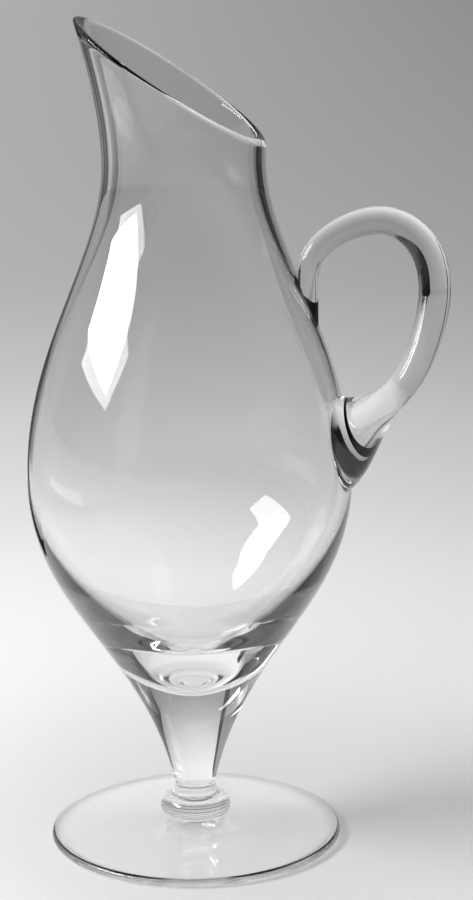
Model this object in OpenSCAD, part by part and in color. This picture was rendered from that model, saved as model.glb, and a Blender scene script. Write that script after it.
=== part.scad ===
// Footed cocktail pitcher of clear blown glass. A slant-mouthed bowl stands on a drawn stem,
// a ring knop and a round foot. A rod handle loops from a pad on the belly up to the shoulder.
// The stem's axis is Z, the foot stands on Z = 0 and the handle lies on the +X side.

/* [Foot] */
// Radius of the foot
foot_r = 60; // [48:1:80]
// Thickness of the foot's rounded edge
foot_edge = 3.4; // [2.4:0.2:5]
// Height of the foot under the knop
foot_h = 9; // [7:0.5:14]
// Rise of the hollow underside at the centre
foot_hollow = 4; // [0.5:0.5:5]
// Width of the flat ring that the foot stands on
foot_ring = 3; // [2:0.5:10]

/* [Knop] */
// Largest radius of the ring knop
knop_r = 14.5; // [12.5:0.5:22]
// Height of the knop
knop_h = 8.8; // [6:0.2:14]
// Height of the knop's widest line above the foot
knop_low = 3.2; // [2:0.2:5]
// Radius of the knop's flat seat on the foot
knop_seat_r = 11.5; // [8:0.5:14]

/* [Stem] */
// Radius at the stem's waist
waist_r = 8.35; // [6:0.25:10.5]
// Height of the collar between the knop and the waist
collar_h = 5.7; // [3:0.1:9]
// How far the collar spreads past the waist where it meets the knop
collar_spread = 1.5; // [0.5:0.1:2.5]
// Height of the seam to the bowl above the waist
stem_h = 43.5; // [34:0.5:52]
// Angle at which the stem opens above its waist
stem_flare = 13.3; // [6:0.1:20]
// Depth of the stem's cup under the bowl
cup_depth = 5; // [2:0.5:9]

/* [Bowl] */
// Largest radius of the bowl
belly_r = 65.7; // [56:0.1:78]
// Height of the widest line above the stem's waist
belly_h = 130.7; // [110:0.1:155]
// Smallest radius of the neck
neck_r = 32.5; // [27:0.5:40]
// Height of the narrowest line above the widest line
neck_h = 128.5; // [110:0.5:155]
// Height above the neck at which the lip's flare is measured
lip_h = 62.3; // [50:0.1:80]
// Radius of the lip's flare at that height
lip_r = 44; // [38:0.5:52]
// Angle at which the lip flares there
lip_flare = 16.3; // [8:0.1:24]

/* [Mouth] */
// Slant of the mouth
mouth_slant = 33.8; // [22:0.1:38]
// Height of the mouth's middle above the neck's narrowest line
mouth_h = 27.7; // [22:0.1:36]

/* [Wall] */
// Wall thickness at the belly
belly_wall = 1.9; // [1.4:0.1:4]
// Wall thickness at the neck
neck_wall = 4.2; // [2:0.1:6]
// Wall thickness at the lip
lip_wall = 3.8; // [2:0.1:6]
// Height of the bowl's inside bottom above the seam
floor_h = 2.5; // [0.5:0.1:12]

/* [Handle] */
// Height of the handle's upper seat above the widest line
shoulder_h = 73; // [64:0.5:82]
// Length of the straight end above the upper seat
leg_h = 9; // [5:0.5:13]
// Height of the loop's top above the upper seat
loop_h = 31.9; // [26:0.1:42]
// How far the loop's top lies outside the middle of the loop
loop_skew = 2.9; // [0:0.1:6]
// How far the grip's middle stands out past the belly
handle_reach = 33.2; // [26:0.1:44]
// Depth of the grip's outermost point below the loop's top
grip_drop = 27.9; // [22:0.1:36]
// Height of the pad's middle above the widest line
pad_rise = 17.6; // [8:0.1:28]
// How far the lower bend stands out from the bowl
bend_reach = 20.2; // [16:0.1:26]
// Height of the lower bend above the pad's middle
bend_h = 20.2; // [16:0.1:26]
// Direction of the rod at the lower bend, from straight down toward the bowl
bend_angle = 44.4; // [30:0.1:60]
// How far round the bowl the pad sits from the plane of the lip
pad_turn = 10; // [0:0.5:14]

/* [Handle thickness] */
// Rod radius at the upper seat
leg_r = 4.5; // [3.5:0.1:6]
// Rod radius at the top of the loop
top_r = 5.8; // [4.5:0.1:7.5]
// Rod radius at the grip
grip_r = 6.4; // [5:0.1:8]
// Rod radius at the lower bend
bend_r = 5.8; // [4.5:0.1:8]
// Half height of the pad inside the bowl's outline
pad_half_h = 27; // [21:0.1:33]
// Half width of the pad inside the bowl's outline
pad_half_w = 17.5; // [14:0.5:26]
// Half width of the rod where it opens into the pad
bend_half_w = 7.5; // [5:0.1:10]
// How early the rod's width opens into the pad, smaller is earlier
pad_swell = 0.55; // [0.45:0.05:1]

/* [Curves] */
// Fullness of the stem's curve above the waist
waist_pull = 0.444; // [0.35:0.001:0.5]
// Fullness of the bowl below the widest line
belly_pull_low = 0.369; // [0.3:0.001:0.45]
// Fullness of the bowl above the widest line
belly_pull_high = 0.407; // [0.3:0.001:0.5]
// Softness of the neck below its narrowest line
neck_pull_low = 0.278; // [0.2:0.001:0.4]
// Softness of the neck above its narrowest line
neck_pull_high = 0.216; // [0.1:0.001:0.4]
// Length of the straight part of the lip's flare
lip_pull = 0.53; // [0.3:0.01:0.7]
// Roundness of the bowl's inside bottom
floor_pull = 0.18; // [0.05:0.01:0.3]
// Fullness of the inside above the bottom
inside_pull = 0.34; // [0.28:0.01:0.5]

/* [Hidden] */
$fn = 96;

// Spare length of the lip and the wall, trimmed off by the slanted mouth
lip_spare = 60;
// Depth at which the rim's round bead is sunk into the cut wall, and its inset from the wall's faces
rim_sink = 0.8;
rim_inset = 0.03;
// Depth of the handle's ends inside the bowl's outline
seat_sink = 1.5;
pad_sink = 12.8;
// Steps along a curve, round the rim's bead, round the mouth and round the rod
curve_steps = 18;
bead_steps = 8;
mouth_steps = 72;
rod_steps = 10;
rod_sides = 24;
bisections = 30;
// Colour and opacity of clear glass
glass = "azure";
opacity = 0.4;

// Heights of the main lines
knop_top = foot_h + knop_h;
waist_z = knop_top + collar_h;
seam_z = waist_z + stem_h;
belly_z = waist_z + belly_h;
neck_z = belly_z + neck_h;
lip_z = neck_z + lip_h;
mouth_z = neck_z + mouth_h;
floor_z = seam_z + floor_h;
collar_r = waist_r + collar_spread;

// Direction in a profile plane: 0 is up, 90 is outward, 180 is down, 270 is inward
function heading(a) = [sin(a), cos(a)];
// Cubic curve from p to q that leaves at angle pa and arrives at angle qa
function span(p, pa, pull_p, q, qa, pull_q) =
    let (reach = norm(q - p))
    [p, p + heading(pa) * pull_p * reach, q - heading(qa) * pull_q * reach, q];
function point(c, t) =
    pow(1 - t, 3) * c[0] + 3 * pow(1 - t, 2) * t * c[1] + 3 * (1 - t) * t * t * c[2] + pow(t, 3) * c[3];
function slope(c, t) =
    let (d = pow(1 - t, 2) * (c[1] - c[0]) + 2 * (1 - t) * t * (c[2] - c[1]) + t * t * (c[3] - c[2]))
    d / norm(d);
function trace(c, t0 = 0, t1 = 1) = [for (i = [0 : curve_steps]) point(c, t0 + (t1 - t0) * i / curve_steps)];
// Place on a rising curve at height z
function place(c, z, low = 0, high = 1, n = bisections) =
    let (mid = (low + high) / 2)
    n == 0 ? mid : point(c, mid)[1] < z ? place(c, z, mid, high, n - 1) : place(c, z, low, mid, n - 1);
function ease(t) = t * t * (3 - 2 * t);

// Outside of stem and bowl in three curves, with the lip run on in a straight line
lower = span([waist_r, waist_z], stem_flare, waist_pull, [belly_r, belly_z], 0, belly_pull_low);
upper = span([belly_r, belly_z], 0, belly_pull_high, [neck_r, neck_z], 0, neck_pull_low);
flare = span([neck_r, neck_z], 0, neck_pull_high, [lip_r, lip_z], lip_flare, lip_pull);
tip = flare[3] + heading(lip_flare) * lip_spare;
seam_t = place(lower, seam_z);
seam_r = point(lower, seam_t)[0];

// Inside of the bowl
inner_belly = [belly_r - belly_wall, belly_z];
inner_neck = [neck_r - neck_wall, neck_z];
inner_lip = [lip_r - lip_wall, lip_z];
inner_low = span([0, floor_z], 90, floor_pull, inner_belly, 0, inside_pull);
inner_up = span(inner_belly, 0, belly_pull_high, inner_neck, 0, neck_pull_low);
inner_flare = span(inner_neck, 0, neck_pull_high, inner_lip, lip_flare, lip_pull);
inner_tip = inner_lip + heading(lip_flare) * lip_spare;

// Round bottom of the bowl, which the stem's cup takes up: an arc from the axis out to the seam
cup_round_r = (seam_r * seam_r + cup_depth * cup_depth) / (2 * cup_depth);
cup_span = asin(seam_r / cup_round_r);
cup_arc = [for (i = [0 : curve_steps])
    [cup_round_r * sin(cup_span * i / curve_steps),
     seam_z - cup_depth + cup_round_r * (1 - cos(cup_span * i / curve_steps))]];

module ring_of(points) {
    rotate_extrude() polygon(points);
}

// Block above the slanted mouth, high on the lip's side and low on the handle's side
module above_mouth() {
    reach = 2 * tip[1];
    translate([0, 0, mouth_z])
        rotate([0, mouth_slant, 0])
            translate([-reach, -reach, 0])
                cube(2 * reach);
}

// Fire-polished rim

// Wall curve from the neck up, as one run: 0 to 1 shoulder, 1 to 2 flare, 2 to 3 straight lip
function wall_point(run, u) =
    u < 1 ? point(run[0], u) : u < 2 ? point(run[1], u - 1) : run[1][3] + (run[2] - run[1][3]) * (u - 2);
function wall_slope(run, u) = u < 1 ? slope(run[0], u) : slope(run[1], min(u - 1, 1));
outer_run = [upper, flare, tip];
inner_run = [inner_up, inner_flare, inner_tip];
// Height of a wall point above the slanted mouth, on the half plane at angle a
function over_mouth(p, a) = p[1] + tan(mouth_slant) * p[0] * cos(a) - mouth_z;
function rim_place(run, a, low = 0, high = 3, n = bisections) =
    let (mid = (low + high) / 2)
    n == 0 ? mid
    : over_mouth(wall_point(run, mid), a) < 0 ? rim_place(run, a, mid, high, n - 1)
    : rim_place(run, a, low, mid, n - 1);
// Section of the bead at angle a: half an ellipse that leaves both wall faces smoothly, and a sunk base
function rim_section(a) =
    let (outer_u = rim_place(outer_run, a),
         outer_p = wall_point(outer_run, outer_u),
         inner_p = wall_point(inner_run, rim_place(inner_run, a)),
         rise = wall_slope(outer_run, outer_u),
         middle = (outer_p + inner_p) / 2,
         half = (outer_p - inner_p) / 2 * (1 - rim_inset),
         across = abs(half[0] * rise[1] - half[1] * rise[0]))
    concat([for (i = [0 : bead_steps])
                middle + half * cos(180 * i / bead_steps) + rise * across * sin(180 * i / bead_steps)],
           [middle - half - rise * rim_sink, middle + half - rise * rim_sink]);

module rim_bead() {
    sections = [for (k = [0 : mouth_steps - 1]) rim_section(360 * k / mouth_steps)];
    count = len(sections[0]);
    points = [for (k = [0 : mouth_steps - 1], p = sections[k])
        [p[0] * cos(360 * k / mouth_steps), p[0] * sin(360 * k / mouth_steps), p[1]]];
    faces = [for (k = [0 : mouth_steps - 1], i = [0 : count - 1])
        let (a = k * count, b = ((k + 1) % mouth_steps) * count, j = (i + 1) % count)
        each [[a + i, b + j, b + i], [a + i, a + j, b + j]]];
    polyhedron(points, faces);
}

// Bowl

module bowl_outline() {
    ring_of(concat(cup_arc, trace(lower, seam_t, 1), trace(upper), trace(flare), [tip, [0, tip[1]]]));
}

module bowl_inside() {
    top = [inner_tip, [0, inner_tip[1]]];
    ring_of(concat(trace(inner_low), trace(inner_up), trace(inner_flare), top));
}

module bowl() {
    color(glass, opacity) {
        difference() {
            bowl_outline();
            bowl_inside();
            above_mouth();
        }
        rim_bead();
    }
}

// Stem: collar, waist and cup, flush with the bowl along the seam

collar_heading = 330;
collar_pull = 0.4;

module stem() {
    collar = span([collar_r, knop_top], collar_heading, collar_pull, [waist_r, waist_z], 0, collar_pull);
    cup_down = [for (i = [curve_steps : -1 : 0]) cup_arc[i]];
    outline = concat([[0, knop_top]], trace(collar), trace(lower, 0, seam_t), cup_down);
    color(glass, opacity) ring_of(outline);
}

// Knop: a ring bead with a flat seat on the foot and a flat top under the collar

module knop() {
    middle_z = foot_h + knop_low;
    lower_part = [for (i = [curve_steps : -1 : 1])
        [knop_seat_r + (knop_r - knop_seat_r) * cos(90 * i / curve_steps),
         middle_z - knop_low * sin(90 * i / curve_steps)]];
    upper_part = [for (i = [0 : curve_steps])
        [collar_r + (knop_r - collar_r) * cos(90 * i / curve_steps),
         middle_z + (knop_h - knop_low) * sin(90 * i / curve_steps)]];
    color(glass, opacity) ring_of(concat([[0, foot_h]], lower_part, upper_part, [[0, knop_top]]));
}

// Foot: rounded edge, gently rising top and a hollow underside inside a flat ring

top_headings = [276, 278];
hollow_headings = [90, 95];
foot_pulls = [0.4, 0.3];

module foot() {
    edge_r = foot_edge / 2;
    edge = [for (i = [-curve_steps : curve_steps])
        [foot_r - edge_r + edge_r * cos(90 * i / curve_steps), edge_r + edge_r * sin(90 * i / curve_steps)]];
    rim = [foot_r - edge_r, foot_edge];
    seat = [knop_seat_r, foot_h];
    top = span(rim, top_headings[0], foot_pulls[0], seat, top_headings[1], foot_pulls[1]);
    crown = [0, foot_hollow];
    ring = [foot_r - edge_r - foot_ring, 0];
    hollow = span(crown, hollow_headings[0], foot_pulls[0], ring, hollow_headings[1], foot_pulls[1]);
    color(glass, opacity) ring_of(concat(trace(hollow), edge, trace(top), [[0, foot_h]]));
}

// Handle: a rod that swells into the pad, swept along five curves and seated on the bowl's outside

shoulder_z = belly_z + shoulder_h;
leg_x = point(upper, place(upper, shoulder_z))[0];
pad_z = belly_z + pad_rise;
pad_x = point(upper, place(upper, pad_z))[0];
grip_x = belly_r + handle_reach;
// Height at which the bowl is wide enough to hold the whole rod's end
function depth_at(r, low = 0, high = 1, n = bisections) =
    let (mid = (low + high) / 2)
    n == 0 ? point(upper, mid)[1]
    : point(upper, mid)[0] > r ? depth_at(r, mid, high, n - 1) : depth_at(r, low, mid, n - 1);

leg_end = [leg_x, depth_at(leg_x + leg_r + seat_sink)];
leg_top = [leg_x, shoulder_z + leg_h];
loop_top = [(leg_x + grip_x) / 2 + loop_skew, shoulder_z + loop_h];
grip = [grip_x, loop_top[1] - grip_drop];
bend = [pad_x + bend_reach, pad_z + bend_h];
pad = [pad_x - pad_sink, pad_z];

// Stations along the handle: place, heading, half height and half width, then the swell of the width
// and the pulls of the curves between
stations = [leg_end, leg_top, loop_top, grip, bend, pad];
headings = [0, 0, 90, 180, 180 + bend_angle, 270];
half_h = [leg_r, leg_r, top_r, grip_r, bend_r, pad_half_h];
half_w = [leg_r, leg_r, top_r, grip_r, bend_half_w, pad_half_w];
swells = [1, 1, 1, 1, pad_swell];
pulls = [[0.33, 0.33], [0.42, 0.23], [0.29, 0.55], [0.22, 0.32], [0.55, 0.22]];
handle_spans = [for (i = [0 : len(pulls) - 1])
    span(stations[i], headings[i], pulls[i][0], stations[i + 1], headings[i + 1], pulls[i][1])];
// Station of the loop's top, from which the turn toward the pad begins
loop_top_run = 2;

// Ring of points at run u along the handle, turned round the bowl by its share of the pad's turn
function rod_ring(u) =
    let (s = min(floor(u), len(handle_spans) - 1),
         t = u - s,
         c = point(handle_spans[s], t),
         d = slope(handle_spans[s], t),
         h = half_h[s] + (half_h[s + 1] - half_h[s]) * ease(t),
         w = half_w[s] + (half_w[s + 1] - half_w[s]) * ease(pow(t, swells[s])),
         turn = -pad_turn * ease(max(u - loop_top_run, 0) / (len(handle_spans) - loop_top_run)))
    [for (k = [0 : rod_sides - 1])
        let (a = 360 * k / rod_sides,
             x = c[0] - d[1] * h * cos(a),
             y = w * sin(a),
             z = c[1] + d[0] * h * cos(a))
        [x * cos(turn) - y * sin(turn), x * sin(turn) + y * cos(turn), z]];

module rod() {
    rings = [for (i = [0 : len(handle_spans) * rod_steps]) rod_ring(i / rod_steps)];
    last = (len(rings) - 1) * rod_sides;
    sides = [for (r = [0 : len(rings) - 2], k = [0 : rod_sides - 1])
        let (a = r * rod_sides, b = a + rod_sides, j = (k + 1) % rod_sides)
        each [[a + k, b + k, b + j], [a + k, b + j, a + j]]];
    ends = [[for (k = [0 : rod_sides - 1]) k], [for (k = [rod_sides - 1 : -1 : 0]) last + k]];
    polyhedron([for (r = rings) each r], concat(sides, ends));
}

module handle() {
    color(glass, opacity) difference() {
        rod();
        bowl_outline();
    }
}

bowl();
stem();
knop();
foot();
handle();
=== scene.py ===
import math

import bpy
import numpy as np
from mathutils import Matrix, Vector


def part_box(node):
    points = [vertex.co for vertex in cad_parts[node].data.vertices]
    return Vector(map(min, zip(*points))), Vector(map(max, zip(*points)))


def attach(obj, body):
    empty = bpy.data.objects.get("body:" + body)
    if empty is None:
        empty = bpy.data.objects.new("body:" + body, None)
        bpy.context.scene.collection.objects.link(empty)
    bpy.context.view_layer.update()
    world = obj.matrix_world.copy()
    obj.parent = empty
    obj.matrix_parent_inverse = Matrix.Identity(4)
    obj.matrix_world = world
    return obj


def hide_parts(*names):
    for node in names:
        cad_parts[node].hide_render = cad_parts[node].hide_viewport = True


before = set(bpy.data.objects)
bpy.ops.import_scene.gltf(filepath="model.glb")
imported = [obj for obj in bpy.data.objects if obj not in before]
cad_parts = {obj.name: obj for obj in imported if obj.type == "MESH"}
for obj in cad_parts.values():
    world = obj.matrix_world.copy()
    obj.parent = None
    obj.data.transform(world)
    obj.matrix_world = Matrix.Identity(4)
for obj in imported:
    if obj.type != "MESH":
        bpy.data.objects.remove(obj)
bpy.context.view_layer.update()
mm = 0.001  # the pitcher's sizes and the camera's place are in millimetres, those of the set in metres
tiny = 1e-6  # keeps a division, and a ring near a pole, away from nothing


# Curves and surfaces

def heading(angle):
    # unit step in a profile plane: 0 is up, 90 outward, 180 down, 270 inward
    a = math.radians(angle)
    return np.array([math.sin(a), math.cos(a)])


def span(p, pAngle, pPull, q, qAngle, qPull):
    # cubic from p to q; each handle is its pull times the chord, along its angle
    p, q = np.array(p, float), np.array(q, float)
    reach = np.linalg.norm(q - p)
    return np.array([p, p + heading(pAngle) * pPull * reach, q - heading(qAngle) * qPull * reach, q])


def along(curve, t):
    # Bernstein weights times the four control points
    t = np.asarray(t, float)[..., None]
    s = 1 - t
    return s**3 * curve[0] + 3 * s**2 * t * curve[1] + 3 * s * t**2 * curve[2] + t**3 * curve[3]


def steps(count, first=0.0, last=1.0):
    return np.linspace(first, last, count + 1)


def around(count):
    # angles once round, without the last one, which is the first again
    return steps(count, -math.pi, math.pi)[:-1]


def ease(t):
    # from 0 to 1, level at both ends
    return t * t * (3 - 2 * t)


def runLength(points):
    # length of a polyline from its start to each of its points
    return np.concatenate([[0], np.cumsum(np.linalg.norm(np.diff(points, axis=0), axis=1))])


def sampled(points, run, at):
    # places on a polyline by linear interpolation along its run
    return np.stack([np.interp(at, run, column) for column in points.T], axis=-1)


def evenly(points, count):
    # the same polyline with count equal steps of its length
    run = runLength(points)
    return sampled(points, run, steps(count, 0, run[-1]))


def turned(section, angles):
    # points (r, z) carried round Z to the angles
    r, z = section[..., 0], section[..., 1]
    return np.stack([r * np.cos(angles), r * np.sin(angles), z + 0 * angles], axis=-1)


def closedMesh(name, rings, poles, fusedCells):
    # rings of points joined in quads and closed by a fan at each pole; fusedCells marks the cells of a joint
    rows, columns = rings.shape[:2]
    points = np.concatenate([rings.reshape(-1, 3), poles]) * mm
    index = np.arange(rows * columns).reshape(rows, columns)
    nextIndex = np.roll(index, -1, axis=1)
    quads = np.stack([index[:-1], nextIndex[:-1], nextIndex[1:], index[1:]], axis=-1).reshape(-1, 4)
    firstFan = np.column_stack([nextIndex[0], index[0], np.full(columns, index.size)])
    lastFan = np.column_stack([index[-1], nextIndex[-1], np.full(columns, index.size + 1)])
    corners = np.concatenate([quads.ravel(), firstFan.ravel(), lastFan.ravel()]).astype(np.int32)
    sides = np.concatenate([np.full(len(quads), 4), np.full(2 * columns, 3)])
    starts = np.concatenate([[0], np.cumsum(sides)[:-1]]).astype(np.int32)
    slots = np.concatenate([fusedCells[1:-1].ravel(), fusedCells[0], fusedCells[-1]]).astype(np.int32)
    mesh = bpy.data.meshes.new(name)
    mesh.vertices.add(len(points))
    mesh.loops.add(len(corners))
    mesh.polygons.add(len(sides))
    mesh.vertices.foreach_set("co", points.ravel())
    mesh.loops.foreach_set("vertex_index", corners)
    mesh.polygons.foreach_set("loop_start", starts)
    mesh.update(calc_edges=True)
    mesh.polygons.foreach_set("material_index", slots)
    mesh.polygons.foreach_set("use_smooth", np.ones(len(sides), bool))
    sharpJoints(mesh, slots, sides)
    mesh.validate()
    piece = bpy.data.objects.new(name, mesh)
    bpy.context.scene.collection.objects.link(piece)
    print(name, "has", len(points), "points and", int((sides - 2).sum()), "triangles")
    return piece


def sharpJoints(mesh, slots, sides):
    # an edge is sharp where a fused cell meets an open one, so that each keeps its own shading
    edgeOfCorner = np.empty(len(mesh.loops), np.int32)
    mesh.loops.foreach_get("edge_index", edgeOfCorner)
    slotOfCorner = np.repeat(slots, sides)
    low = np.ones(len(mesh.edges), np.int32)
    high = np.zeros(len(mesh.edges), np.int32)
    np.minimum.at(low, edgeOfCorner, slotOfCorner)
    np.maximum.at(high, edgeOfCorner, slotOfCorner)
    mesh.edges.foreach_set("use_edge_sharp", low != high)


# Glass

glassFinish = {"tint": (0.985, 0.99, 0.99), "ior": 1.5, "roughness": 0.0}


def blownGlass():
    material = bpy.data.materials.new("clearBlownGlass")
    material.use_nodes = True
    shader = material.node_tree.nodes["Principled BSDF"]
    shader.inputs["Base Color"].default_value = (*glassFinish["tint"], 1)
    shader.inputs["Roughness"].default_value = glassFinish["roughness"]
    shader.inputs["IOR"].default_value = glassFinish["ior"]
    shader.inputs["Transmission Weight"].default_value = 1
    return material


def fusedJoint():
    # where two gathers of glass are melted together there is no surface to see
    material = bpy.data.materials.new("fusedJoint")
    material.use_nodes = True
    shader = material.node_tree.nodes["Principled BSDF"]
    shader.inputs["Alpha"].default_value = 0
    return material


glass = blownGlass()
fused = fusedJoint()


def dress(piece, node):
    piece.data.materials.append(glass)
    piece.data.materials.append(fused)
    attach(piece, "root")
    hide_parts(node)


# Turned pieces: heights from the frame, and an outline carried round Z

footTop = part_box("foot")[1].z / mm
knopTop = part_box("knop")[1].z / mm
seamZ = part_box("stem")[1].z / mm  # where the bowl leaves the stem's cup
turnedGrid = {"columns": 192, "seatRows": 6}


def level(r0, r1, z):
    # a level face in a profile
    return np.column_stack([steps(turnedGrid["seatRows"], r0, r1), steps(turnedGrid["seatRows"], z, z)])


def revolved(name, node, stretches):
    # stretches of (points, fused) follow each other from the axis below to the axis above
    outline = np.concatenate([stretches[0][0][:1]] + [points[1:] for points, _ in stretches])
    marks = np.concatenate([np.full(len(points) - 1, isFused) for points, isFused in stretches])
    rings = turned(outline[1:-1, None], around(turnedGrid["columns"]))
    poles = [[0, 0, outline[0, 1]], [0, 0, outline[-1, 1]]]
    dress(closedMesh(name, rings, poles, np.repeat(marks[:, None], turnedGrid["columns"], axis=1)), node)


# Foot: rounded edge, gently rising top, hollow underside inside a flat ring

foot = {"radius": 60.0, "edge": 3.4, "hollow": 4.0, "ring": 3.0, "topAngles": (276, 278),
        "hollowAngles": (90, 95), "pulls": (0.4, 0.3), "faceRows": 60, "edgeRows": 24}


def makeFoot():
    edgeR = foot["edge"] / 2
    ringOut = foot["radius"] - edgeR
    ringIn = ringOut - foot["ring"]
    rows = steps(foot["faceRows"])

    def face(p, q, angles):
        return along(span(p, angles[0], foot["pulls"][0], q, angles[1], foot["pulls"][1]), rows)

    under = face([0, foot["hollow"]], [ringIn, 0], foot["hollowAngles"])
    ring = level(ringIn, ringOut, 0)
    turn = steps(foot["edgeRows"], -math.pi / 2, math.pi / 2)
    edge = np.column_stack([ringOut + edgeR * np.cos(turn), edgeR + edgeR * np.sin(turn)])
    top = face([ringOut, foot["edge"]], [knop["seat"], footTop], foot["topAngles"])
    seat = level(knop["seat"], 0, footTop)
    revolved("foot_glass", "foot", [(under, False), (ring, False), (edge, False), (top, False), (seat, True)])


# Knop: two quarter ellipses about its widest line

knop = {"radius": 14.5, "widest": 3.2, "seat": 11.5, "rows": 20}


def makeKnop():
    widestZ = footTop + knop["widest"]
    turn = steps(knop["rows"], 0, math.pi / 2)
    under = level(0, knop["seat"], footTop)
    low = np.column_stack([knop["seat"] + (knop["radius"] - knop["seat"]) * np.sin(turn),
                           widestZ - knop["widest"] * np.cos(turn)])
    high = np.column_stack([collarR + (knop["radius"] - collarR) * np.cos(turn),
                            widestZ + (knopTop - widestZ) * np.sin(turn)])
    top = level(collarR, 0, knopTop)
    revolved("knop_glass", "knop", [(under, True), (low, False), (high, False), (top, True)])


# Profiles of stem and bowl: one outside from the waist to the lip, and the inside of the bowl

stem = {"waist": 8.35, "collar": 5.7, "spread": 1.5, "collarAngle": 330, "collarPull": 0.4, "flare": 13.3,
        "cup": 5.0, "collarRows": 16, "coneRows": 70, "seamBand": 2.2, "seamRows": 16, "cupRows": 16}
bowl = {"belly": 65.7, "bellyUp": 130.7, "neck": 32.5, "neckUp": 128.5, "lip": 44.0, "lipUp": 62.3,
        "lipFlare": 16.3, "slant": 33.8, "mouthUp": 27.7, "bellyWall": 1.0, "neckWall": 4.2, "lipWall": 3.8,
        "waistPull": 0.444, "bellyPulls": (0.369, 0.407), "neckPulls": (0.278, 0.216), "lipPull": 0.53,
        "floorUp": 2.5, "turnR": 33.7, "turnUp": 25.0, "turnAngle": 44.3, "floorPulls": (0.192, 0.534),
        "insidePulls": (0.436, 0.335)}

collarR = stem["waist"] + stem["spread"]
waistZ = knopTop + stem["collar"]
bellyZ = waistZ + bowl["bellyUp"]
neckZ = bellyZ + bowl["neckUp"]
lipZ = neckZ + bowl["lipUp"]
mouthZ = neckZ + bowl["mouthUp"]
fine = steps(3000)  # the runs at which each curve is worked out


def wallCurves(bellyR, neckR, lipR):
    # from the belly in to the neck and out to the lip
    upper = span([bellyR, bellyZ], 0, bowl["bellyPulls"][1], [neckR, neckZ], 0, bowl["neckPulls"][0])
    flare = span([neckR, neckZ], 0, bowl["neckPulls"][1], [lipR, lipZ], bowl["lipFlare"], bowl["lipPull"])
    return np.concatenate([along(upper, fine), along(flare, fine)[1:]])


outsideLower = span([stem["waist"], waistZ], stem["flare"], bowl["waistPull"],
                    [bowl["belly"], bellyZ], 0, bowl["bellyPulls"][0])
outsideUpper = wallCurves(bowl["belly"], bowl["neck"], bowl["lip"])
outside = np.concatenate([along(outsideLower, fine), outsideUpper[1:]])

# the hollow rises from its floor to a turn, past which the wall thins up to the belly
insideBelly = bowl["belly"] - bowl["bellyWall"]
insideTurn = [bowl["turnR"], seamZ + bowl["turnUp"]]
insideFloor = span([0, seamZ + bowl["floorUp"]], 90, bowl["floorPulls"][0],
                   insideTurn, bowl["turnAngle"], bowl["floorPulls"][1])
insideLower = span(insideTurn, bowl["turnAngle"], bowl["insidePulls"][0],
                   [insideBelly, bellyZ], 0, bowl["insidePulls"][1])
insideUpper = wallCurves(insideBelly, bowl["neck"] - bowl["neckWall"], bowl["lip"] - bowl["lipWall"])
inside = np.concatenate([along(insideFloor, fine), along(insideLower, fine)[1:], insideUpper[1:]])


def outerR(z):
    return np.interp(z, outside[:, 1], outside[:, 0])


def between(profile, low, high):
    # the stretch of a profile between two heights, with its ends put in
    keep = profile[(profile[:, 1] > low) & (profile[:, 1] < high)]
    ends = [[np.interp(z, profile[:, 1], profile[:, 0]), z] for z in (low, high)]
    return np.concatenate([ends[:1], keep, ends[1:]])


# the cup is an arc through the seam; its radius is (seam radius squared + depth squared) / twice the depth
seamR = float(outerR(seamZ))
cupR = (seamR**2 + stem["cup"]**2) / (2 * stem["cup"])
cupTurn = steps(stem["cupRows"], 0, math.asin(seamR / cupR))
cupArc = np.column_stack([cupR * np.sin(cupTurn), seamZ - stem["cup"] + cupR * (1 - np.cos(cupTurn))])
print("profiles from the waist at", waistZ, "to the mouth at", mouthZ, "with the seam at", seamZ)


# Stem: collar, waist, drawn cone and cup, with closer rows under the seam so that the shading runs on

def makeStem():
    bandZ = seamZ - stem["seamBand"]
    under = level(0, collarR, knopTop)
    collar = along(span([collarR, knopTop], stem["collarAngle"], stem["collarPull"],
                        [stem["waist"], waistZ], 0, stem["collarPull"]), steps(stem["collarRows"]))
    cone = evenly(between(outside, waistZ, bandZ), stem["coneRows"])
    band = evenly(between(outside, bandZ, seamZ), stem["seamRows"])
    revolved("stem_glass", "stem", [(under, True), (collar, False), (cone, False), (band, False),
                                    (cupArc[::-1], True)])


# Handle: a rod swept along five curves, its sections ellipses, from the shoulder over the loop to the pad

handle = {"shoulderUp": 73.0, "leg": 9.0, "loop": 31.9, "skew": 2.9, "reach": 33.2, "gripDown": 27.9,
          "padUp": 17.6, "bendOut": 20.2, "bendUp": 20.2, "bendAngle": 44.4, "padTurn": 10.0, "seatSink": 1.5,
          "padSink": 12.8, "legR": 4.5, "topR": 5.8, "gripR": 6.4, "bendR": 5.8, "bendWide": 7.5,
          "padHigh": 27.0, "padWide": 17.5,
          "pulls": [(0.33, 0.33), (0.42, 0.23), (0.29, 0.55), (0.22, 0.32), (0.55, 0.22)],
          "padSwell": 0.55, "loopTopStation": 2, "pathStep": 0.1, "pathSoft": 5.0, "pathReach": 4,
          "sides": 72, "rings": 220, "capRings": 10, "capShares": (0.1, 0.9), "seatSides": 1440,
          "seatSteps": 5000}

shoulder = between(outside, bellyZ, neckZ)
shoulderZ = bellyZ + handle["shoulderUp"]
legX = float(outerR(shoulderZ))
padZ = bellyZ + handle["padUp"]
padX = float(outerR(padZ))
gripX = bowl["belly"] + handle["reach"]
legEndZ = float(np.interp(-(legX + handle["legR"] + handle["seatSink"]), -shoulder[:, 0], shoulder[:, 1]))
loopTop = [(legX + gripX) / 2 + handle["skew"], shoulderZ + handle["loop"]]
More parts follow.
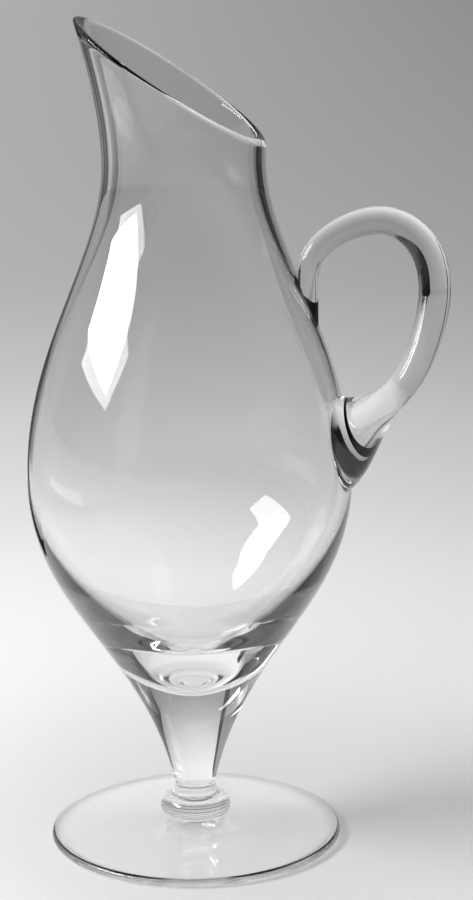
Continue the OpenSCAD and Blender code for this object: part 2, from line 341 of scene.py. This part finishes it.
# the rod passes these places (x, z) at these headings
stations = [[legX, legEndZ], [legX, shoulderZ + handle["leg"]], loopTop,
            [gripX, loopTop[1] - handle["gripDown"]],
            [padX + handle["bendOut"], padZ + handle["bendUp"]], [padX - handle["padSink"], padZ]]
courses = [0, 0, 90, 180, 180 + handle["bendAngle"], 270]
halfHigh = np.array([handle[k] for k in ("legR", "legR", "topR", "gripR", "bendR", "padHigh")])
halfWide = np.array([handle[k] for k in ("legR", "legR", "topR", "gripR", "bendWide", "padWide")])
rodSpans = np.array([span(p, pCourse, pPull, q, qCourse, qPull) for p, pCourse, q, qCourse, (pPull, qPull)
                     in zip(stations, courses, stations[1:], courses[1:], handle["pulls"])])


def runningMean(points, spread):
    # a bell-weighted mean along evenly spaced points, with what the first pass cut off added back
    reach = int(handle["pathReach"] * spread)
    bell = np.exp(-0.5 * (np.arange(-reach, reach + 1) / spread)**2)

    def mean(p):
        longer = np.pad(p, ((reach, reach), (0, 0)), mode="reflect", reflect_type="odd")
        return np.column_stack([np.convolve(column, bell / bell.sum(), "valid") for column in longer.T])

    first = mean(points)
    return first + mean(points - first)


# the path as the hot rod takes it: its bend changes gradually from curve to curve
rodLine = np.concatenate([along(curve, fine) for curve in rodSpans])
rodRun = np.concatenate([i + fine for i in range(len(rodSpans))])
rodLength = runLength(rodLine)
pathLength = np.arange(0, rodLength[-1], handle["pathStep"])
path = runningMean(sampled(rodLine, rodLength, pathLength), handle["pathSoft"] / handle["pathStep"])
pathCourse = np.gradient(path, axis=0)
pathCourse /= np.linalg.norm(pathCourse, axis=1, keepdims=True)


def rodPoint(u, a):
    # centre on the path at run u, plus the section's ellipse square to the path;
    # both are turned round the bowl's axis toward the pad
    s = np.clip(np.floor(u).astype(int), 0, len(rodSpans) - 1)
    length = np.interp(u, rodRun, rodLength)
    centre = sampled(path, pathLength, length)
    course = sampled(pathCourse, pathLength, length)
    high = halfHigh[s] + (halfHigh[s + 1] - halfHigh[s]) * ease(u - s)
    swell = np.where(s == len(rodSpans) - 1, handle["padSwell"], 1)
    wide = halfWide[s] + (halfWide[s + 1] - halfWide[s]) * ease((u - s)**swell)
    first = handle["loopTopStation"]
    turn = -math.radians(handle["padTurn"]) * ease(np.clip(u - first, 0, None) / (len(rodSpans) - first))
    x = centre[..., 0] - course[..., 1] * high * np.cos(a)
    y = -wide * np.sin(a)
    z = centre[..., 1] + course[..., 0] * high * np.cos(a)
    return np.stack([x * np.cos(turn) - y * np.sin(turn), x * np.sin(turn) + y * np.cos(turn), z], axis=-1)


def clearance(p):
    # distance outside the bowl, measured from the axis
    return np.hypot(p[..., 0], p[..., 1]) - outerR(p[..., 2])


def seatRuns(a):
    # runs at which the rod's line at section angle a leaves the bowl at the shoulder and meets it at the pad
    u = steps(handle["seatSteps"], 0, len(rodSpans))[:, None]
    gap = clearance(rodPoint(u + 0 * a, a + 0 * u))
    out = gap > 0
    column = np.arange(len(a))
    first = np.argmax(out, axis=0)
    last = len(out) - 1 - np.argmax(out[::-1], axis=0)

    def crossing(i, j):
        gi, gj = gap[i, column], gap[j, column]
        return u[i, 0] + (u[j, 0] - u[i, 0]) * gi / (gi - gj)

    return crossing(first - 1, first), crossing(last, last + 1)


def seatOutline(points):
    # outline of a fused seat on the bowl, as polar radii about its middle in unrolled millimetres
    angle, height = np.arctan2(points[:, 1], points[:, 0]), points[:, 2]
    middle = np.array([(angle.min() + angle.max()) / 2, (height.min() + height.max()) / 2])
    radius = float(outerR(middle[1]))
    across, up = (angle - middle[0]) * radius, height - middle[1]
    bearing = np.arctan2(up, across)
    order = np.argsort(bearing)
    return {"middle": middle, "radius": radius, "bearing": bearing[order], "far": np.hypot(across, up)[order],
            "half": (np.ptp(across) / 2, np.ptp(up) / 2)}


def onSeat(seat, bearing, share):
    # angle and height of the point at a share of the way from the seat's middle to its outline
    far = np.interp(bearing, seat["bearing"], seat["far"], period=2 * math.pi) * share
    angle = seat["middle"][0] + far * np.cos(bearing) / seat["radius"]
    return angle, seat["middle"][1] + far * np.sin(bearing)


def onBowl(angle, z):
    # the point of the bowl's outside at an angle and a height
    return turned(np.stack([outerR(z), z], axis=-1), angle)


def seatCap(seat, edge, shares):
    # rings from the rod's end inward over the bowl's outside, at shares of the outline
    angle, z = np.arctan2(edge[:, 1], edge[:, 0]), edge[:, 2]
    m = seat["middle"]
    return onBowl(m[0] + (angle - m[0]) * shares[:, None], m[1] + (z - m[1]) * shares[:, None])


seatSides = around(handle["seatSides"])
upperSeat, lowerSeat = (seatOutline(rodPoint(runs, seatSides)) for runs in seatRuns(seatSides))
print("seats", upperSeat["middle"], upperSeat["half"], lowerSeat["middle"], lowerSeat["half"])


def makeHandle():
    a = around(handle["sides"])
    u0, u1 = seatRuns(a)
    share = steps(handle["rings"])[:, None]
    rod = rodPoint(u0 + (u1 - u0) * share, a + 0 * share)
    shares = steps(handle["capRings"], *handle["capShares"])
    start = seatCap(upperSeat, rod[0], shares)
    end = seatCap(lowerSeat, rod[-1], shares[::-1])
    rings = np.concatenate([start, rod, end])
    poles = [onBowl(*seat["middle"]) for seat in (upperSeat, lowerSeat)]
    marks = np.zeros(len(rings) + 1, bool)
    marks[:len(start) + 1] = True
    marks[-len(end) - 1:] = True
    dress(closedMesh("handle_glass", rings, poles, np.repeat(marks[:, None], len(a), axis=1)), "handle")


# Bowl: outside from the seam to the slanted mouth, rounded rim, inside down to the floor

bowlGrid = {"columns": 256, "lowRows": 124, "highRows": 40, "rimRows": 16, "innerRows": 104,
            "levelTop": 252.0, "upperBlock": (5, 10), "lowerBlock": (13, 14), "zone": 1.7}


def underMouth(profile, angle):
    # the profile's run where it meets the slanted mouth, one for each angle, by linear interpolation
    over = profile[:, 1:] + math.tan(math.radians(bowl["slant"])) * profile[:, :1] * np.cos(angle) - mouthZ
    i = np.argmax(over > 0, axis=0)
    column = np.arange(len(angle))
    low, high = over[i - 1, column], over[i, column]
    return i - low / (high - low)


def seated(angle, z, seat, block):
    # draws the grid round a fused seat: a block of cells takes the seat's outline,
    # and a zone round the block eases back to the plain grid
    column, row = np.meshgrid(np.arange(angle.shape[1]), np.arange(angle.shape[0]))
    middleColumn = round((seat["middle"][0] + math.pi) / (2 * math.pi) * bowlGrid["columns"])
    middleRow = int(np.argmin(np.abs(z[:, 0] - seat["middle"][1])))
    x, y = (column - middleColumn) / block[0], (row - middleRow) / block[1]
    size = np.maximum(np.abs(x), np.abs(y))
    inZone = size < bowlGrid["zone"]
    unit = np.maximum(size, tiny)
    bearing = np.arctan2(y * seat["half"][1], x * seat["half"][0])
    seatAngle, seatZ = onSeat(seat, bearing, np.minimum(size, 1))
    farColumn = middleColumn + x / unit * bowlGrid["zone"] * block[0]
    farRow = middleRow + y / unit * bowlGrid["zone"] * block[1]
    farAngle = -math.pi + 2 * math.pi * farColumn / bowlGrid["columns"]
    farZ = np.interp(farRow, np.arange(len(z)), z[:, 0])
    back = np.clip((size - 1) / (bowlGrid["zone"] - 1), 0, 1)
    angle = np.where(inZone, seatAngle + (farAngle - seatAngle) * back, angle)
    z = np.where(inZone, seatZ + (farZ - seatZ) * back, z)
    cells = np.zeros((angle.shape[0] - 1, angle.shape[1]), bool)
    cells[middleRow - block[1]:middleRow + block[1], middleColumn - block[0]:middleColumn + block[0]] = True
    return angle, z, cells


def wallUnderMouth(profile, angles):
    # sections from the highest level ring to the slanted mouth, one column for each angle
    rows = np.arange(len(profile))
    start = np.interp(bowlGrid["levelTop"], profile[:, 1], rows)
    share = steps(bowlGrid["highRows"])[:, None]
    return sampled(profile, rows, start + (underMouth(profile, angles) - start) * share)


def roundRim(outerHigh, innerEnd):
    # half an ellipse over the wall's end; one half axis runs along the cut to the wall's outside, and the
    # other along the outside's rise, as long as half the wall is thick
    outerEnd = outerHigh[-1]
    rise = outerEnd - outerHigh[-2]
    rise = rise / np.linalg.norm(rise, axis=-1, keepdims=True)
    half = (outerEnd - innerEnd) / 2
    across = np.abs(half[:, 0] * rise[:, 1] - half[:, 1] * rise[:, 0])[:, None]
    turn = steps(bowlGrid["rimRows"], 0, math.pi)[1:-1, None, None]
    return (outerEnd + innerEnd) / 2 + half * np.cos(turn) + rise * across * np.sin(turn)


def makeBowl():
    angles = around(bowlGrid["columns"])
    levels = evenly(between(outside, seamZ, bowlGrid["levelTop"]), bowlGrid["lowRows"])[:, 1]
    z = levels[:, None] + 0 * angles
    angle = angles + 0 * z
    angle, z, upperCells = seated(angle, z, upperSeat, bowlGrid["upperBlock"])
    angle, z, lowerCells = seated(angle, z, lowerSeat, bowlGrid["lowerBlock"])

    bottom = turned(cupArc[1:, None], angles)
    outerLow = onBowl(angle, z)
    outerHigh = wallUnderMouth(outside, angles)
    innerHigh = wallUnderMouth(inside, angles)[::-1]
    rim = roundRim(outerHigh, innerHigh[0])
    innerLow = evenly(between(inside, inside[0, 1] + tiny, bowlGrid["levelTop"]), bowlGrid["innerRows"])[::-1]
    rings = np.concatenate([bottom, outerLow[1:], turned(outerHigh, angles)[1:], turned(rim, angles),
                            turned(innerHigh, angles), turned(innerLow[1:-1, None], angles)])
    cells = np.zeros((len(rings) + 1, len(angles)), bool)
    cells[:len(bottom)] = True
    cells[len(bottom):len(bottom) + len(upperCells)] |= upperCells | lowerCells
    poles = [[0, 0, cupArc[0, 1]], [0, 0, inside[0, 1]]]
    dress(closedMesh("bowl_glass", rings, poles, cells), "bowl")


makeFoot()
makeKnop()
makeStem()
makeHandle()
makeBowl()


# Node helpers for floor, lights and room

def mathNode(tree, operation, *values):
    # a Math node whose inputs are numbers or sockets
    node = tree.nodes.new("ShaderNodeMath")
    node.operation = operation
    for socket, value in zip(node.inputs, values):
        if isinstance(value, (int, float)):
            socket.default_value = value
        else:
            tree.links.new(value, socket)
    return node.outputs[0]


def smoothStep(tree, value, low, high, toLow=0.0, toHigh=1.0):
    # toLow up to low, toHigh from high on, and a smooth change between them
    node = tree.nodes.new("ShaderNodeMapRange")
    node.interpolation_type = "SMOOTHSTEP"
    for name, number in (("From Min", low), ("From Max", high), ("To Min", toLow), ("To Max", toHigh)):
        node.inputs[name].default_value = number
    tree.links.new(value, node.inputs["Value"])
    return node.outputs["Result"]


def axes(tree, kind):
    # X, Y and Z of a place on a piece (Object) or of a direction in the room (Generated)
    place = tree.nodes.new("ShaderNodeTexCoord")
    split = tree.nodes.new("ShaderNodeSeparateXYZ")
    tree.links.new(place.outputs[kind], split.inputs[0])
    return [split.outputs[name] for name in "XYZ"]


def seenRays(tree):
    # 1 for rays that come from the eye straight, by a mirror or through glass
    path = tree.nodes.new("ShaderNodeLightPath")
    mirrored = mathNode(tree, "MAXIMUM", path.outputs["Is Glossy Ray"], path.outputs["Is Transmission Ray"])
    return mathNode(tree, "MAXIMUM", path.outputs["Is Camera Ray"], mirrored)


def openToEye(tree, kept):
    # a share of light that holds for all rays but the eye's own, which see all of it
    path = tree.nodes.new("ShaderNodeLightPath")
    return mathNode(tree, "MAXIMUM", kept, path.outputs["Is Camera Ray"])


def greysAlong(tree, distance, greys):
    # a smooth run of greys over a distance in metres
    ramp = tree.nodes.new("ShaderNodeValToRGB")
    stops = ramp.color_ramp.elements
    already = len(stops)
    reach = greys[-1][0]
    tree.links.new(mathNode(tree, "DIVIDE", distance, reach), ramp.inputs[0])
    ramp.color_ramp.interpolation = "CARDINAL"
    for i, (at, grey) in enumerate(greys):
        stop = stops[i] if i < already else stops.new(1.0)
        stop.position = at / reach
        stop.color = (grey, grey, grey, 1)
    return ramp.outputs[0]


def stagePiece(name, points, faces, material):
    # a piece of the set, which is no part of the pitcher
    mesh = bpy.data.meshes.new(name)
    mesh.from_pydata(np.asarray(points).tolist(), [], faces)
    mesh.materials.append(material)
    piece = bpy.data.objects.new(name, mesh)
    bpy.context.scene.collection.objects.link(piece)
    print(name, "has", len(faces), "faces")
    return piece


# Stage: a pale floor with a painted glow that greys with distance and to the right, and in the glass shows
# dark flanks

stage = {"radius": 6.0, "drop": 0.0003, "rings": 60, "sides": 96, "albedo": 0.75,
         "greys": [(0.0, 0.26), (0.08, 0.31), (0.19, 0.46), (0.32, 0.53), (0.5, 0.47), (0.75, 0.385),
                   (1.05, 0.3), (1.5, 0.275), (3.0, 0.26)],
         "paintedUnderFoot": 0.22, "footEdge": (0.052, 0.06),
         "sideSlope": -0.85, "sideMiddle": 0.065, "sideLimits": (0.15, 1.3), "viewTurn": 0.0875,
         "darkRight": (0.2, 0.1), "frontRight": (0.95, 1.25), "rightKept": 0.01,
         "darkLeft": (0.19, 0.2), "frontLeft": (0.95, 1.25), "leftKept": 0.06,
         "flareFrom": 0.4, "soft": 0.08, "flankReach": (0.3, 0.42), "flankFar": (0.62, 0.85), "nearKept": 0.4}


def sideShade(tree, x, y):
    # painted shade: brightness falls in a straight line from the camera's left to its right, within limits
    aside = mathNode(tree, "ADD", x, mathNode(tree, "MULTIPLY", y, stage["viewTurn"]))
    onAxis = 1 - stage["sideSlope"] * stage["sideMiddle"]
    side = mathNode(tree, "MULTIPLY_ADD", aside, stage["sideSlope"], onAxis)
    least, most = stage["sideLimits"]
    return mathNode(tree, "MINIMUM", mathNode(tree, "MAXIMUM", side, least), most)


def flank(tree, x, y, spread, edge, flare, front, least):
    # the share of light kept on one side: little past an edge that flares with distance,
    # and all again toward the front
    past = mathNode(tree, "SUBTRACT", x, mathNode(tree, "MULTIPLY_ADD", spread, flare, edge))
    dark = smoothStep(tree, past, 0.0, stage["soft"])
    dark = mathNode(tree, "MULTIPLY", dark, smoothStep(tree, mathNode(tree, "DIVIDE", y, x), *front))
    return smoothStep(tree, dark, 0.0, 1.0, 1.0, least)


def bothFlanks(tree, x, y, far):
    # both flanks together; the floor from flankReach to flankFar keeps its light, the floor inside that
    # keeps a share of it, and the eye sees all of it
    spread = mathNode(tree, "MAXIMUM", mathNode(tree, "SUBTRACT", y, stage["flareFrom"]), 0.0)
    right = flank(tree, x, y, spread, *stage["darkRight"], stage["frontRight"], stage["rightKept"])
    mirrored = mathNode(tree, "MULTIPLY", x, -1.0)
    left = flank(tree, mirrored, y, spread, *stage["darkLeft"], stage["frontLeft"], stage["leftKept"])
    near = smoothStep(tree, far, *stage["flankReach"], stage["nearKept"], 1.0)
    near = mathNode(tree, "MULTIPLY", near, smoothStep(tree, far, *stage["flankFar"], 1.0, 0.0))
    return openToEye(tree, mathNode(tree, "MAXIMUM", mathNode(tree, "MULTIPLY", right, left), near))


def floorFinish():
    # matt pale floor, lit by the panel, with a painted glow that falls off with distance and to the right,
    # and a painted pool of light under the foot that stands in for the light the glass gathers there
    material = bpy.data.materials.new("paleFloor")
    material.use_nodes = True
    tree = material.node_tree
    shader = tree.nodes["Principled BSDF"]
    x, y, _ = axes(tree, "Object")
    squares = mathNode(tree, "ADD", mathNode(tree, "MULTIPLY", x, x), mathNode(tree, "MULTIPLY", y, y))
    far = mathNode(tree, "SQRT", squares)
    # painted light: a brighter pool under the foot in place of the light the glass gathers there
    paintedPoolUnderFoot = smoothStep(tree, far, *stage["footEdge"], stage["paintedUnderFoot"], 0.0)
    grey = mathNode(tree, "ADD", greysAlong(tree, far, stage["greys"]), paintedPoolUnderFoot)
    kept = bothFlanks(tree, x, y, far)
    shade = mathNode(tree, "MULTIPLY", sideShade(tree, x, y), kept)
    paintedGlow = mathNode(tree, "MULTIPLY", mathNode(tree, "MULTIPLY", grey, shade), seenRays(tree))
    tree.links.new(mathNode(tree, "MULTIPLY", kept, stage["albedo"]), shader.inputs["Base Color"])
    shader.inputs["Roughness"].default_value = 1
    shader.inputs["Specular IOR Level"].default_value = 0
    shader.inputs["Emission Color"].default_value = (1, 1, 1, 1)
    tree.links.new(paintedGlow, shader.inputs["Emission Strength"])
    return material


def makeFloor():
    # rings that widen with the square of their number
    r = (steps(stage["rings"])**2 * stage["radius"])[1:, None]
    a = around(stage["sides"])
    rings = np.stack([r * np.cos(a), r * np.sin(a), 0 * r * a - stage["drop"]], axis=-1)
    index = np.arange(r.size * a.size).reshape(r.size, a.size)
    nextIndex = np.roll(index, -1, axis=1)
    quads = np.stack([index[:-1], index[1:], nextIndex[1:], nextIndex[:-1]], axis=-1).reshape(-1, 4)
    middle = np.column_stack([index[0], nextIndex[0], np.full(a.size, index.size)])
    points = np.concatenate([rings.reshape(-1, 3), [[0, 0, -stage["drop"]]]])
    stagePiece("floor", points, quads.tolist() + middle.tolist(), floorFinish())


# Light: a bright panel at the left, and for the glass alone a painted pool of light, a paper card that glows
# with painted light behind and a dark flag

panel = {"corners": [(-0.6, -0.345, 0.372), (-0.6, 0.04, 0.368), (-0.6, 0.04, 0.62), (-0.6, -0.51, 0.62)],
         "strength": 17}
patch = {"far": [(-0.9, -0.23, 0.001), (-0.88, 0.24, 0.001)],
         "near": [(-0.62, -0.22, 0.001), (-0.77, 0.24, 0.001)], "strength": 1.7}
card = {"edges": [(0.0, -0.4, 0.33), (0.005, -0.3, 0.33), (0.02, -0.16, 0.31), (0.14, -0.155, 0.195),
                  (0.177, -0.165, 0.15), (0.21, -0.165, 0.155), (0.26, -0.165, 0.18), (0.3, -0.165, 0.19),
                  (0.6, -0.165, 0.2)],  # height, left and right
        "course": [(0.15, 0.0), (0.2, 0.03), (0.27, 0.1), (0.33, 0.18), (0.38, 0.3), (0.42, 0.6)], "rows": 40,
        "greys": [(0.0, 0.84), (0.03, 0.80), (0.1, 0.52), (0.18, 0.33), (0.3, 0.285), (0.6, 0.21)],
        "flag": 0.045, "flagSpan": (0.015, 0.3), "flagGrey": 0.05}


def glowing(name, strength=0.0):
    material = bpy.data.materials.new(name)
    material.use_nodes = True
    shader = material.node_tree.nodes["Principled BSDF"]
    shader.inputs["Base Color"].default_value = (0, 0, 0, 1)
    shader.inputs["Specular IOR Level"].default_value = 0
    shader.inputs["Emission Color"].default_value = (1, 1, 1, 1)
    shader.inputs["Emission Strength"].default_value = strength
    return material


def strip(name, left, right, material):
    # a sheet between two lines of points that only the glass shows
    row = np.arange(len(left) - 1)
    faces = np.column_stack([row, row + 1, row + 1 + len(left), row + len(left)])
    sheet = stagePiece(name, np.concatenate([left, right]), faces.tolist(), material)
    sheet.visible_camera = False
    sheet.visible_diffuse = False
    sheet.visible_shadow = False


def makePatch():
    # painted light: a glowing sheet on the floor at the left that lights nothing and only the glass shows
    strip("patch", np.array(patch["far"]), np.array(patch["near"]), glowing("paintedLightPatch", patch["strength"]))


def makePanel():
    sheet = stagePiece("panel", panel["corners"], [[0, 1, 2, 3]], glowing("panelLight", panel["strength"]))
    sheet.visible_camera = False


def cardFinish():
    # painted light: a glow that greys with height, times the floor's painted fall in brightness to the right
    material = glowing("paperCard")
    tree = material.node_tree
    x, y, z = axes(tree, "Object")
    shade = mathNode(tree, "MULTIPLY", greysAlong(tree, z, card["greys"]), sideShade(tree, x, y))
    tree.links.new(shade, tree.nodes["Principled BSDF"].inputs["Emission Strength"])
    return material


def makeCard():
    # a sheet that starts low behind the foot and curves up, with the low flag along its left edge
    course = evenly(np.array(card["course"]), card["rows"])
    z, *edges = np.array(card["edges"]).T
    left, right = (np.column_stack([np.interp(course[:, 1], z, edge), course]) for edge in edges)
    strip("card", left, right, cardFinish())
    low, high = card["flagSpan"]
    edge = left[(course[:, 1] >= low) & (course[:, 1] <= high)]
    strip("flag", edge - [card["flag"], 0, 0], edge, glowing("darkFlag", card["flagGrey"]))


# Room: dim all round, with a dark patch at the back right and one at the left that the eye itself doesn't see

room = {"front": 0.12, "back": 0.33, "depth": (-0.3, 0.6), "top": 0.6, "height": (0.0, 0.9), "dark": 0.02,
        "flanks": [(52, 0.70, 0.80), (-100, 0.80, 0.90)]}  # bearing, and where the dark begins and is full


def makeRoom():
    # brightness by direction: from front to back, less toward the top, and nearly none in round patches
    world = bpy.data.worlds.new("room")
    bpy.context.scene.world = world
    world.use_nodes = True
    tree = world.node_tree
    x, y, z = axes(tree, "Generated")
    grey = smoothStep(tree, y, *room["depth"], room["front"], room["back"])
    grey = mathNode(tree, "MULTIPLY", grey, smoothStep(tree, z, *room["height"], 1.0, room["top"]))
    for bearing, low, high in room["flanks"]:
        a = math.radians(bearing)
        toward = mathNode(tree, "MULTIPLY_ADD", y, math.cos(a), mathNode(tree, "MULTIPLY", x, math.sin(a)))
        kept = openToEye(tree, smoothStep(tree, toward, low, high, 1.0, room["dark"] / room["back"]))
        grey = mathNode(tree, "MULTIPLY", grey, kept)
    background = tree.nodes["Background"]
    tree.links.new(grey, background.inputs["Strength"])
    background.inputs["Color"].default_value = (1, 1, 1, 1)
    print("room with", len(room["flanks"]), "dark patches")


makeFloor()
makePatch()
makePanel()
makeCard()
makeRoom()


# Camera: at the photograph's place, with its tilt and roll

camera = {"place": (103.6, -1184.1, 485.4), "bearing": 5.0, "pitch": 15.091, "roll": -1.077, "yaw": 0.889,
          "focal": 3048.4, "frameHigh": 900, "sensor": 36.0}


def makeCamera():
    # a level view along the bearing, tilted down by the pitch, then rolled, then turned by the yaw
    b, p, r, y = (math.radians(camera[k]) for k in ("bearing", "pitch", "roll", "yaw"))
    right = Vector((math.cos(b), math.sin(b), 0))
    onward = Vector((-math.sin(b), math.cos(b), 0))
    ahead = onward * math.cos(p) - Vector((0, 0, math.sin(p)))
    up = onward * math.sin(p) + Vector((0, 0, math.cos(p)))
    right, up = right * math.cos(r) + up * math.sin(r), up * math.cos(r) - right * math.sin(r)
    ahead, right = ahead * math.cos(y) + right * math.sin(y), right * math.cos(y) - ahead * math.sin(y)
    data = bpy.data.cameras.new("camera")
    data.sensor_width = camera["sensor"]
    data.lens = camera["focal"] * camera["sensor"] / camera["frameHigh"]  # the focal length is in pixels
    cameraObject = bpy.data.objects.new("camera", data)
    turn = Matrix((right, up, -ahead)).transposed().to_4x4()
    cameraObject.matrix_world = Matrix.Translation(Vector(camera["place"]) * mm) @ turn
    bpy.context.scene.collection.objects.link(cameraObject)
    bpy.context.scene.camera = cameraObject
    print("camera with a lens of", round(data.lens, 1), "mm")


makeCamera()
scene = bpy.context.scene
scene.view_settings.view_transform = "Standard"
scene.cycles.max_bounces = 32
scene.cycles.transmission_bounces = 32
scene.cycles.glossy_bounces = 16
scene.cycles.transparent_max_bounces = 32
